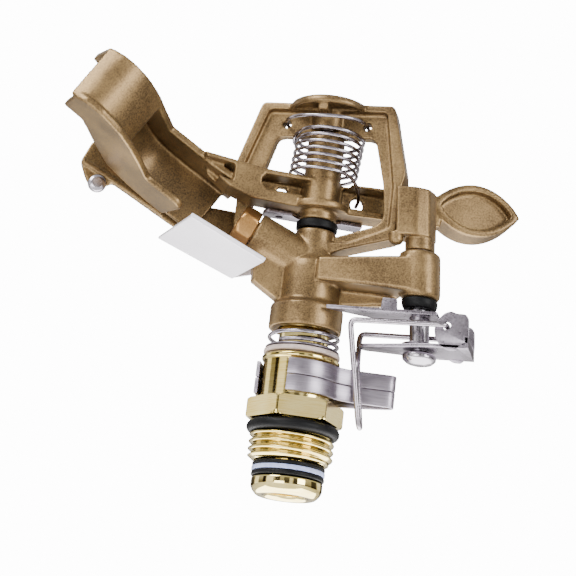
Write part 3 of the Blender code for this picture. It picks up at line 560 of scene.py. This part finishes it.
head_cuts = [
    rod("tube_socket", (0, 0, 20), UP, 6.45, 10.5),
    rod("waterway", (0, 0, 29), UP, 4.2, 11.5),
    rod("jet_bore", BRANCH_START, BRANCH, 3.2, 30),
    rod("pivot_hole", (0, 0, 45), UP, 2.2, 37.5),
    at_trip(rod("pin_hole", (0, 0, 20), UP, 2.6, 40)),
    rod("boss_hole", on_arm((BOSS_OUT, -7.4, BOSS_HEIGHT)), -SIDE, 1.25, 20),
    rod("left_eye", (-10.5, -9, EYE_HEIGHT), (0, 1, 0), 1.05, 18),
    rod("right_eye", (10.4, -9, EYE_HEIGHT), (0, 1, 0), 1.05, 18),
]
head_solids = [neck, branch, web, side_boss, bridge, post_back, crown, crown_rib, crown_seat]
head_solids += [bracket, pin_boss, skirt]
head = cast("head_cast", head_solids, head_cuts)
dress(head, bronze_paint, "head", "painted_zinc", "head_casting")

# ---------------------------------------------------------------- nozzle
# A bronze nozzle screwed into the branch: a turned hexagon with domed corners and a round jet hole.

# Machined bronze, redder than the brass and duller, with the marks of the hexagon's milling.
bronze = surface(
    "machined_bronze", "94693A", "BC915A", 0.9, 0.34, 0.5, (3, 3, 1), 0.05, 0.000004
)
NOZZLE_COLUMNS = 96
NOZZLE_FLAT, NOZZLE_TURN = 4.55, 12
nozzle_angle = np.linspace(0, 2 * math.pi, NOZZLE_COLUMNS, endpoint=False)
from_flat = (np.degrees(nozzle_angle) - NOZZLE_TURN) % 60 - 30
flats = NOZZLE_FLAT / np.cos(np.radians(from_flat))
nozzle_height = np.array([5.0, 5.0, 17.2, 17.2, 17.35, 17.7, 20.6, 21.2, 21.7, 21.9, 21.9, 21.4])
nozzle_limit = np.array([1.9, 2.85, 2.85, 4.4, 4.85, 5.2, 5.2, 4.95, 4.5, 4.1, 2.3, 1.9])
nozzle_radius = np.minimum(flats[None], nozzle_limit[:, None])
nozzle_points = around(nozzle_radius, nozzle_height, NOZZLE_COLUMNS)
nozzle = skin("nozzle_turned", nozzle_points, ring=True)
moved(nozzle, Matrix.Translation(Vector(BRANCH_START) * MM) @ facing(BRANCH))
dress(nozzle, bronze, "head", "bronze", "nozzle")

# ---------------------------------------------------------------- arm pivot
# A ground stainless pin runs from the crown down into the neck, through the arm's hub. The hub
# rests on a thick moulded black washer.

# Stainless bar, ground round: bright grey with fine rings.
ground_steel = surface(
    "ground_steel", "8F8A91", "B9B4BB", 1.0, 0.24, 0.5, (1, 1, 4), 0.05, 0.000002
)
pivot = rod("pivot_ground", (0, 0, 44.6), UP, 2.0, 38.4, 0.2)
dress(pivot, ground_steel, "head", "stainless", "pivot_pin")
hub_washer_section = [(2.4, 51.4), (5.25, 51.4), (5.25, 49.4), (2.4, 49.4)]
hub_washer = turned("hub_washer_moulded", hub_washer_section, 0.3)
dress(hub_washer, seal_rubber, "head", "rubber", "hub_washer")

# ---------------------------------------------------------------- impact arm
# The swinging arm is a second zinc casting in the same paint: hub, slotted bar, leaf-shaped weight
# behind, and in front the spoon, two sloping plates joined by a straight vane and a curved hood.


ARM_FRAME = Matrix.Rotation(ARM_YAW, 4, "Z")
SPOON_ROOT = Vector((20.66, 0, 56.8))
SPOON_SLOPE = math.radians(-30)
SPOON_FRAME = ARM_FRAME @ Matrix.Translation(SPOON_ROOT * MM) @ Matrix.Rotation(SPOON_SLOPE, 4, "Y")
WEIGHT_CENTRE, WEIGHT_HEIGHT = -39.6, 60.9
WEIGHT_REACH, WEIGHT_RISE, LEAF_POWER = 11.9, 6.9, 0.86


def arm_slab(name, outline, low, high, **options):
    """An upright plate in the arm's own frame."""
    return moved(slab(name, outline, low, high, upright=True, **options), ARM_FRAME)


def arm_block(name, low, high):
    """A box in the arm's own frame."""
    return moved(block(name, low, high), ARM_FRAME)


def vane(name, path, thickness, low=-13.4, high=1.0):
    """A wall between the spoon's plates: a curve of points, eased, then thickened to its left by
    moving each point square to the curve."""
    line = eased(path, 1.0, 6)
    ahead = np.gradient(line, axis=0)
    ahead /= np.linalg.norm(ahead, axis=1, keepdims=True)
    left = line + np.stack([-ahead[:, 1], ahead[:, 0]], -1) * thickness
    return moved(slab(name, np.vstack([line, left[::-1]]), low, high, 0), SPOON_FRAME)


bar_outline = [(-31, 55), (-9, 54.0), (8, 54.0), (18, 54.3), (24, 56.2), (29, 60.0), (31, 64.2)]
bar_outline += [(22, 63.2), (14, 62.4), (-9, 62.2), (-31, 63.2)]
bar = arm_slab("bar", bar_outline, -4, 4, edge=0.4)
hub = rod("hub", (0, 0, 51.7), UP, 4.7, 22.2, 0.3)
hub_flange = rod("hub_flange", (0, 0, 54.1), UP, 7.7, 1.9, 0.2)
# The leaf's height at x is WEIGHT_RISE (1 - (x / WEIGHT_REACH)^2) to the power LEAF_POWER.
weight_x = np.linspace(-WEIGHT_REACH, WEIGHT_REACH, 25)
weight_z = WEIGHT_RISE * (1 - (weight_x / WEIGHT_REACH) ** 2) ** LEAF_POWER
upper_half = np.stack([weight_x, weight_z], -1)
lower_half = np.stack([weight_x, -weight_z], -1)[-2:0:-1]
weight_line = np.vstack([upper_half, lower_half])
weight_place = (WEIGHT_CENTRE, WEIGHT_HEIGHT)
weight = arm_slab("weight", weight_line + weight_place, -4.6, 4.4, edge=0.7)
top_outline = [(-3, 3), (-3, -3.9), (0.6, -3.9), (1.2, -12.1), (16, -12.1), (24, -11.6)]
top_outline += [(31, -8.8), (36.5, -1.5), (42, 5), (48.0, 8.4), (45.2, 17.6), (41, 19.7)]
top_outline += [(37, 19.4), (33.2, 17.3), (29.8, 14.0), (26.4, 8.4), (22.6, 1.6), (10, 1.4)]
top_plate = moved(slab("top_plate", top_outline, 0, 1.9, 0.2, 0.6), SPOON_FRAME)
bottom_outline = [(8.3, 0.4), (12, -11.9), (17.5, -12.0), (24, -10.8), (30.6, -8.2), (35.6, -0.6)]
bottom_outline += [(40.4, 8.0), (46.2, 8.4), (44, 18.4), (41, 20.4), (36, 20.4), (30, 17.2)]
bottom_outline += [(26, 12.9), (22.4, 7.6), (19.4, 2.2), (9.8, 2.0)]
bottom_plate = moved(slab("bottom_plate", bottom_outline, -14.0, -12.2, 0.2, 1.0), SPOON_FRAME)
ramp_line = [(3.2, -11.9), (16, -11.9), (23, -11.2), (27, -9.2), (29.8, -6.0), (31.4, -2.6)]
ramp = vane("ramp", ramp_line, 1.6)
hood_line = [(45.3, 17.7), (41, 19.9), (37, 19.6), (33, 17.4), (29.6, 14.0), (27.4, 10.2)]
hood = vane("hood", hood_line, 1.6, high=1.9)
hub_window = [(-6.8, 56), (5.2, 56), (5.2, 61.0), (-1.6, 62.0), (-1.6, 70), (-6.8, 70)]
slot = [(4.6, 57.2), (14.6, 57.2), (15.8, 58.3), (15.8, 60.0), (14.8, 61.1), (4.6, 61.1)]
arm_cuts = [
    arm_slab("hub_window", hub_window, 1.0, 12),
    arm_block("hub_window_back", (-6.8, -12, 56), (6.8, -2.6, 70)),
    arm_block("tail_pocket", (-27, -1.4, 55.8), (-5.5, 12, 61.6)),
    arm_block("tail_back_pocket", (-27, -12, 56), (-5.5, -3.0, 61.2)),
    arm_slab("slot", slot, -2.2, 12),
    arm_block("slot_eye", (8.2, -12, 57.6), (10.8, 12, 60.0)),
    arm_slab("front_pocket", [(23.0, 57.6), (30.0, 59.5), (33.0, 63.3), (23.0, 62.1)], -2.0, 12),
]
bar = cast("bar", [bar], arm_cuts, grain=0)
dish_line = weight_line * (0.79, 0.73) + (WEIGHT_CENTRE - 0.2, WEIGHT_HEIGHT)
leaf_dish = arm_slab("dish", dish_line, 1.8, 12, edge=0)
hub_bore = rod("hub_bore", (0, 0, 40), UP, 2.3, 50)
catch = rod("catch", on_arm((-9.9, -9, 58.6)), SIDE, 1.7, 18)
arm_solids = [bar, hub, hub_flange, weight, top_plate, bottom_plate, ramp, hood]
arm = cast("arm_cast", arm_solids, [leaf_dish, hub_bore, catch])
dress(arm, bronze_paint, "arm", "painted_zinc", "impact_arm")

# ---------------------------------------------------------------- strike strip
# A thin stainless strip, stamped, with one rivet hole, lies under the arm for the trip latch to
# strike. It stands 3 mm further in across the arm than its CAD node.

STRIP_SHIFT = Matrix.Translation((0, 3.0 * MM, 0.2 * MM))
strip_outline = [(-12, -9.6), (12.6, -9.6), (13.4, -8.8), (13.4, -5.4), (12.6, -4.6), (6.2, -4.6)]
strip_outline += [(4.4, -6.6), (-4.4, -6.6), (-6.2, -4.6), (-12, -4.6)]
strip = slab("strike_strip_stamped", strip_outline, 52.7, 53.7, 0.15, 0.5)
moved(strip, ARM_FRAME @ STRIP_SHIFT)
rivet_hole = rod("rivet_hole", on_arm((9.2, -4.2, 50)), UP, 1.0, 8)
strip = cast("strike_strip_stamped", [strip], [rivet_hole], grain=0)
dress(strip, pressed_steel, "arm", "stainless", "strike_strip")

# ---------------------------------------------------------------- stop collars
# Two spring clips of stainless strip grip the barrel, one over the other. Each is a C whose ends
# flare a little, with a nose bent out of it that trips the wire; brushed along the strip.

# Stainless strip, brushed along its length, so its fine lines run round the collar.
strip_steel = surface(
    "brushed_stainless_strip", "78717B", "A19AA4", 1.0, 0.36, 1.4, (0.3, 0.3, 6), 0.05, 0.000002
)
NOSE_TURN = math.radians(11.0)
COLLAR_RADIUS = 9.95
HALF_STRIP = 0.45


def arc(radius, start, end, count):
    """Points round a circle, from one heading to another."""
    angle = np.radians(np.linspace(start, end, count))
    return np.stack([radius * np.cos(angle), radius * np.sin(angle)], -1)


def collar(name, low, high, node_name, body):
    """A strip of even thickness round an open path, C, nose, C again and a flared end: each point
    of the path moves half the thickness to either side, square to the path."""
    path = np.vstack(
        [
            arc(COLLAR_RADIUS, -105, -27, 24),
            [(11.6, -3.1), (14, -2.4), (22.6, -1.7), (23.4, -1.3)],
            [(23.6, -0.4), (23.3, 0.6), (21.4, 1.5), (16.5, 3.3), (12.4, 4.4)],
            arc(COLLAR_RADIUS, 36, 186, 34),
            [(-10.25, -1.9)],
        ]
    )
    path = eased(path, 0.35, 9)
    ahead = np.gradient(path, axis=0)
    ahead /= np.linalg.norm(ahead, axis=1, keepdims=True)
    across = np.stack([ahead[:, 1], -ahead[:, 0]], -1) * HALF_STRIP
    clip = slab(name, np.vstack([path + across, (path - across)[::-1]]), low, high, 0.16)
    moved(clip, Matrix.Rotation(NOSE_TURN, 4, "Z"))
    dress(clip, strip_steel, body, "stainless", node_name)


collar("upper_collar_bent", 10.35, 14.3, "upper_stop_collar", "upper_stop")
collar("lower_collar_bent", 6.2, 10.15, "lower_stop_collar", "lower_stop")

# ---------------------------------------------------------------- trip mechanism
# A painted latch block turns on a steel pin over the bracket; under it a black bush stays with the
# head, while a stamped lever and a folded fork turn with the pin, and a hairpin of stainless wire
# hangs from the fork.

latch_outline = [(-5.4, -4.8), (-0.4, -4.8), (2.8, -3.0), (3.9, 0.6), (3.6, 3.0), (2.0, 4.2)]
latch_outline += [(-2.6, 4.2), (-5.4, 2.0)]
latch_block = at_trip(slab("latch_block", latch_outline, 47.6, 60.0, 0.3, 0.8))
neck_profile = [(0.01, 49), (3.7, 49), (3.7, 44.4), (0.01, 44.4)]
latch_neck = at_trip(turned("latch_neck", neck_profile, 0.2, ring=False))
lug_profile = [(0.01, 48.4), (1.9, 48.4), (1.8, 46.0), (0.8, 45.2), (0.01, 45.2)]
latch_lug = at_trip(turned("latch_lug", lug_profile, 0.4, ring=False))
moved(latch_lug, Matrix.Translation((-5.6 * MM, -2.9 * MM, 0)))
latch_bore = at_trip(rod("latch_bore", (0, 0, 40), UP, 2.3, 17.4))
latch = cast("latch_cast", [latch_block, latch_neck, latch_lug], [latch_bore], 0.24)
dress(latch, bronze_paint, "trip", "painted_zinc", "trip_latch")

pin = at_trip(
    turned(
        "trip_pin_turned",
        [
            (0.01, 57.0),
            (2.2, 57.0),
            (2.2, 30.0),
            (2.45, 29.9),
            (2.45, 21.1),
            (2.2, 21.0),
            (2.2, 18.6),
            (3.9, 18.6),
            (4.2, 18.1),
            (4.1, 17.2),
            (3.1, 16.3),
            (1.5, 15.85),
            (0.01, 15.8),
        ],
        0.25,
        ring=False,
    )
)
dress(pin, ground_steel, "trip", "stainless", "trip_pin")
bush_section = [(2.7, 32.1), (4.5, 32.1), (4.4, 30.6), (3.9, 29.6), (2.7, 29.6)]
bush = at_trip(turned("trip_bush_moulded", bush_section, 0.4))
dress(bush, seal_rubber, "head", "rubber", "trip_bush")
pin_washer_section = [(2.6, 21.0), (4.3, 21.0), (4.3, 20.5), (2.6, 20.5)]
pin_washer = at_trip(turned("pin_washer_pressed", pin_washer_section, 0.12))
dress(pin_washer, pressed_steel, "trip", "stainless", "trip_pin_washer")

lever_outline = [(-22.4, -5.6), (-17, -5.6), (-9, -5.3), (5, -4.7), (5, 4.4), (-5, 4.4), (-14, 0.8)]
lever_outline += [(-18.4, -2.2), (-21.6, -4.3)]
lever = at_trip(slab("lever_leaf", lever_outline, 27.5, 28.4, 0.15, 0.6))
tab_outline = [(-9.2, 27.8), (-5.0, 27.8), (-5.0, 31.4), (-8.6, 31.6)]
lever_tab = at_trip(slab("lever_tab", tab_outline, -3.6, -2.8, 0.15, 0.5, upright=True))
lever_eye = at_trip(rod("lever_eye", (0, 0, 20), UP, 2.6, 20))
lever = cast("lever_stamped", [lever, lever_tab], [lever_eye], grain=0)
dress(lever, pressed_steel, "trip", "stainless", "trip_lever")

tongue_angle = np.radians(np.linspace(90, 270, 13))
tongue = np.stack([-12.4 + 2.4 * np.cos(tongue_angle), 2.4 * np.sin(tongue_angle)], -1)
fork_outline = np.vstack([tongue, [(4, -6.6), (12.7, -6.6), (12.7, 6.6), (4, 6.6)]])
fork_leaf = at_trip(slab("fork_leaf", fork_outline, 19.2, 20.1, 0.15))
fork_end = at_trip(block("fork_end", (11.9, -6.6, 19.4), (12.7, 6.6, 22.2), 0.2))
cheek_outline = [(12.6, 20.2), (12.9, 23.0), (12.9, 26.6), (12.2, 27.7), (9.9, 27.8), (8.6, 28.3)]
cheek_outline += [(7.0, 27.7), (5.3, 26.0), (4.5, 23.6), (4.7, 21.6), (5.8, 19.6), (7.6, 18.6)]
cheek_outline += [(9.4, 18.5), (10.6, 19.6), (11.4, 20.6), (12.2, 20.6)]
front_cheek = at_trip(slab("front_cheek", cheek_outline, -6.6, -5.8, 0.15, 0.5, upright=True))
back_cheek = at_trip(slab("back_cheek", cheek_outline, 5.8, 6.6, 0.15, 0.5, upright=True))
fork_cuts = [
    at_trip(rod("fork_eye", (0, 0, 15), UP, 2.5, 10)),
    rod("wire_eye", (TRIP[0] + 7.9, TRIP[1] - 9, 24.6), (0, 1, 0), 1.0, 18),
]
fork = cast("fork_folded", [fork_leaf, fork_end, front_cheek, back_cheek], fork_cuts, grain=0)
dress(fork, pressed_steel, "trip", "stainless", "trip_fork")

wire_route = [(7.9, -5.0, 24.6), (7.9, -6.7, 24.6), (7.2, -7.4, 24.6), (-15.2, -6.9, 24.6)]
wire_route += [(-15.4, -6.7, 23.6), (-12.0, -1.2, 0.6), (-11.6, 0.0, -0.9), (-12.0, 1.1, 0.6)]
wire_route += [(-14.3, 1.9, 15.4), (-15.4, 6.6, 23.6), (-15.2, 6.9, 24.6), (7.2, 7.4, 24.6)]
wire_route += [(7.9, 6.7, 24.6), (7.9, 5.0, 24.6)]
wire = drawn("trip_wire_bent", eased(wire_route, 0.3, 14) + (*TRIP, 0), 0.7, 16)
dress(wire, spring_steel, "wire", "stainless", "trip_wire")

# ---------------------------------------------------------------- jet deflector
# A painted cast shield stands beside the jet, held by a screw at each end, and a folded stainless
# saddle tilts under the nozzle to break the jet up. The saddle is cut and folded from plain sheet.

# Satin stainless sheet: its own pale grey is painted up to nearly white and given as mostly diffuse,
# a painted reflection of the white floor and room.
satin_steel_painted_reflection = surface(
    "satin_stainless_painted_reflection", "DAD5DC", "E6E2E8", 0.3, 0.45, 0.6, (1, 1, 1), 0.04, 0.000001
)
SHIELD_SIDE = -14.6
SHIELD_FOOT = Vector(on_arm((BOSS_OUT, SHIELD_SIDE, BOSS_HEIGHT)))
PLACE = Matrix.Translation(SHIELD_FOOT * MM) @ ARM_FRAME
shield_outline = [(-3.4, -2.8), (-1, -3.6), (4, -3.2), (14, 0.6), (26, 6.4), (41.0, 14.0)]
shield_outline += [(43.2, 12.4), (46.6, 12.2), (48.2, 14.6), (49.8, 18.4), (47.4, 24.4), (27, 15.2)]
shield_outline += [(18, 12.0), (13.8, 12.2), (5.2, 12.0), (4, 3.6), (-1, 3.6), (-3.4, 2.8)]
shield = moved(slab("shield_plate", shield_outline, 0.0, 1.6, 0.3, 1.0, upright=True), PLACE)
rim_outline = [(27.3, 7.3), (49.6, 18.0), (49.2, 19.4), (26.7, 8.7)]
shield_rim = moved(slab("shield_rim", rim_outline, 0.4, 2.2, 0.2, upright=True), PLACE)
shield_cuts = [
    moved(rod("foot_eye", (0, -9, 0), (0, 1, 0), 1.6, 18), PLACE),
    moved(rod("tip_eye", (44.9, -9, 12.9), (0, 1, 0), 1.3, 18), PLACE),
]
shield = cast("shield_cast", [shield, shield_rim], shield_cuts, 0.3)
dress(shield, bronze_paint, "head", "painted_zinc", "jet_shield")

SCREW = [(0.01, 0.6), (1.4, 0.55), (2.2, 0.1), (2.4, -1.1), (1.0, -1.1)]
for name, length, start, direction, node_name in (
    ("shield_screw_turned", -8.0, (0, -1.4, 0), (0, -1, 0), "shield_screw"),
    ("tip_screw_turned", -4.6, (44.9, 3.0, 12.9), (0, 1, 0), "tip_screw"),
):
    screw = turned(name, SCREW + [(1.0, length), (0.01, length)], 0.25, 48, ring=False)
    moved(screw, PLACE @ Matrix.Translation(Vector(start) * MM) @ facing(direction))
    dress(screw, ground_steel, "head", "stainless", node_name)

TILT = PLACE @ Matrix.Rotation(math.radians(-20), 4, "Y")
SKEW = math.radians(9)  # the saddle's outer edge isn't square to its fold
skew = np.array([[math.cos(SKEW), math.sin(SKEW)], [-math.sin(SKEW), math.cos(SKEW)]])
outer_edge = np.array([(26.5, 26.8), (5.3, 26.8)]) @ skew
floor_outline = np.vstack([[(4.9, 2.0), (26.5, 2.0)], outer_edge])
saddle_floor = moved(slab("saddle_floor", floor_outline, -8.2, -7.4, 0.15, 0.4), TILT)
lip_outline = np.vstack([np.array([(5.3, 26.0), (26.5, 26.0)]) @ skew, outer_edge])
saddle_lip = moved(slab("saddle_lip", lip_outline, -8.0, -7.0, 0.15), TILT)
cheek_line = [(-3.2, -1.6), (-2.2, 2.2), (0, 3.2), (2.6, 2.0), (8, -3.0), (24, -5.4)]
cheek_line += [(26.5, -7.8), (4.9, -7.9)]
saddle_cheek = moved(slab("saddle_cheek", cheek_line, 2.0, 2.7, 0.15, 0.6, upright=True), TILT)
saddle_eye = moved(rod("saddle_eye", (0, -9, 0), (0, 1, 0), 1.3, 18), TILT)
saddle_cheek = cast("saddle_cheek", [saddle_cheek], [saddle_eye], grain=0)
folded = bmesh.new()
for leaf in (saddle_floor, saddle_lip, saddle_cheek):
    folded.from_mesh(leaf.data)
folded.to_mesh(saddle_floor.data)
folded.free()
bpy.data.objects.remove(saddle_lip)
bpy.data.objects.remove(saddle_cheek)
saddle = cast("saddle_folded", [saddle_floor], [], 0.2, 1)
# The saddle's near-white colour is a painted reflection over the steel's own pale grey.
dress(saddle, satin_steel_painted_reflection, "deflector", "stainless", "deflector_plate")

# ---------------------------------------------------------------- studio
# A pale floor, and a bright room for the metal to mirror, with a darker band at eye level and cards
# standing round the object. The camera sees a plain white backdrop; the lamps are soft.

floor = block("floor", (-900, -900, -126), (900, 900, -125))
floor.data.materials.append(surface("pale_paper", "F1F0EE", "F7F6F4", 0.0, 0.8, 3.0, relief=0.00001))

world = bpy.data.worlds.new("studio_room")
world.use_nodes = True
bpy.context.scene.world = world
tree = world.node_tree
tree.nodes.clear()
direction = add(tree, "ShaderNodeTexCoord").outputs["Generated"]
parts = add(tree, "ShaderNodeSeparateXYZ", {"Vector": direction})
DARK_CARD, BRIGHT_CARD = linear("2A211A"), (2.6, 2.55, 2.5, 1)
CARD_TOP = 0.35  # the cards reach up to this sine of the elevation
# Each card's heading and half width in degrees, how strongly it covers the room, and its tone.
CARDS = (
    (176, 16, 1.0, BRIGHT_CARD),
    (-134, 12, 1.0, BRIGHT_CARD),
    (-64, 5, 0.5, BRIGHT_CARD),
    (50, 12, 0.6, BRIGHT_CARD),
    (-155, 6, 1.0, DARK_CARD),
    (-108, 8, 0.9, DARK_CARD),
    (-78, 9, 0.8, DARK_CARD),
    (-48, 8, 0.9, DARK_CARD),
    (20, 12, 0.9, DARK_CARD),
    (75, 14, 0.8, DARK_CARD),
    (140, 14, 0.8, DARK_CARD),
)
FLOOR_TONE, ROOM_TOP = "E6E2DE", "FFFFFF"
ROOM_STOPS = ((0.42, "F4F2F0"), (0.5, "6E6660"), (0.56, "B8B2AC"), (0.64, "F6F4F2"))


def worked(operation, *values):
    """A Math node over the values, in the world's tree."""
    return add(tree, "ShaderNodeMath", dict(enumerate(values)), operation=operation).outputs[0]


rise = {"Value": parts.outputs["Z"], "From Min": -1.0, "From Max": 1.0}
rise = add(tree, "ShaderNodeMapRange", rise).outputs[0]
room = add(tree, "ShaderNodeValToRGB", {"Fac": rise})
room.color_ramp.elements[0].color = linear(FLOOR_TONE)
room.color_ramp.elements[1].color = linear(ROOM_TOP)
for position, colour in ROOM_STOPS:
    room.color_ramp.elements.new(position).color = linear(colour)
seen = add(tree, "ShaderNodeLightPath").outputs["Is Camera Ray"]
heading = worked("ARCTAN2", parts.outputs["Y"], parts.outputs["X"])
low_down = worked("LESS_THAN", parts.outputs["Z"], CARD_TOP)
shade = room.outputs["Color"]
for centre, half_width, cover, tone in CARDS:
    apart = worked("ABSOLUTE", worked("SUBTRACT", heading, math.radians(centre)))
    inside = worked("LESS_THAN", apart, math.radians(half_width))
    share = worked("MULTIPLY", worked("MULTIPLY", inside, low_down), cover)
    card = {"Fac": share, "Color1": shade, "Color2": tone}
    shade = add(tree, "ShaderNodeMixRGB", card).outputs[0]
room_light = add(tree, "ShaderNodeBackground", {"Color": shade, "Strength": 0.85})
backdrop = add(tree, "ShaderNodeBackground", {"Color": (1, 1, 1, 1), "Strength": 14.0})
views = {0: seen, 1: room_light.outputs[0], 2: backdrop.outputs[0]}
either = add(tree, "ShaderNodeMixShader", views)
add(tree, "ShaderNodeOutputWorld", {"Surface": either.outputs[0]})

CENTRE = Vector((0, 0, 0.045))
for name, place, size, power in (
    ("key_lamp", (-0.35, -0.45, 0.55), 0.35, 6.4),
    ("fill_lamp", (0.6, -0.35, 0.15), 0.3, 4.0),
    ("under_lamp", (-0.1, -0.5, -0.1), 0.3, 2.4),
    ("table_lamp", (0.0, 0.02, -0.115), 0.3, 2.2),
):
    lamp = bpy.data.lights.new(name, "AREA")
    lamp.size = size
    lamp.energy = power
    item = bpy.data.objects.new(name, lamp)
    item.location = place
    item.visible_camera = False
    item.rotation_euler = (CENTRE - Vector(place)).to_track_quat("-Z", "Y").to_euler()
    bpy.context.scene.collection.objects.link(item)

# The camera stands low in front and to the right, tilted up and rolled a little, with a long lens.
YAW, RISE, ROLL = math.radians(13.6), math.radians(15.1), math.radians(6.9)
CAMERA_PLACE = (0.09895, -0.43185, -0.08557)  # metres
back = np.array([0, -math.cos(RISE), -math.sin(RISE)])
right = np.array([1.0, 0, 0])
upward = np.cross(back, right)
rolled_right = math.cos(ROLL) * right + math.sin(ROLL) * upward
rolled_up = -math.sin(ROLL) * right + math.cos(ROLL) * upward
turn_back = np.array(Matrix.Rotation(YAW, 3, "Z"))
axes = turn_back @ np.stack([rolled_right, rolled_up, back], 1)
camera = bpy.data.objects.new("camera", bpy.data.cameras.new("camera"))
camera.data.lens = 115
camera.data.sensor_width = 36
camera.data.clip_start = 0.01
pose = np.eye(4)
pose[:3, :3] = axes
pose[:3, 3] = CAMERA_PLACE
camera.matrix_world = Matrix(pose.tolist())
bpy.context.scene.collection.objects.link(camera)
bpy.context.scene.camera = camera

bpy.context.view_layer.update()
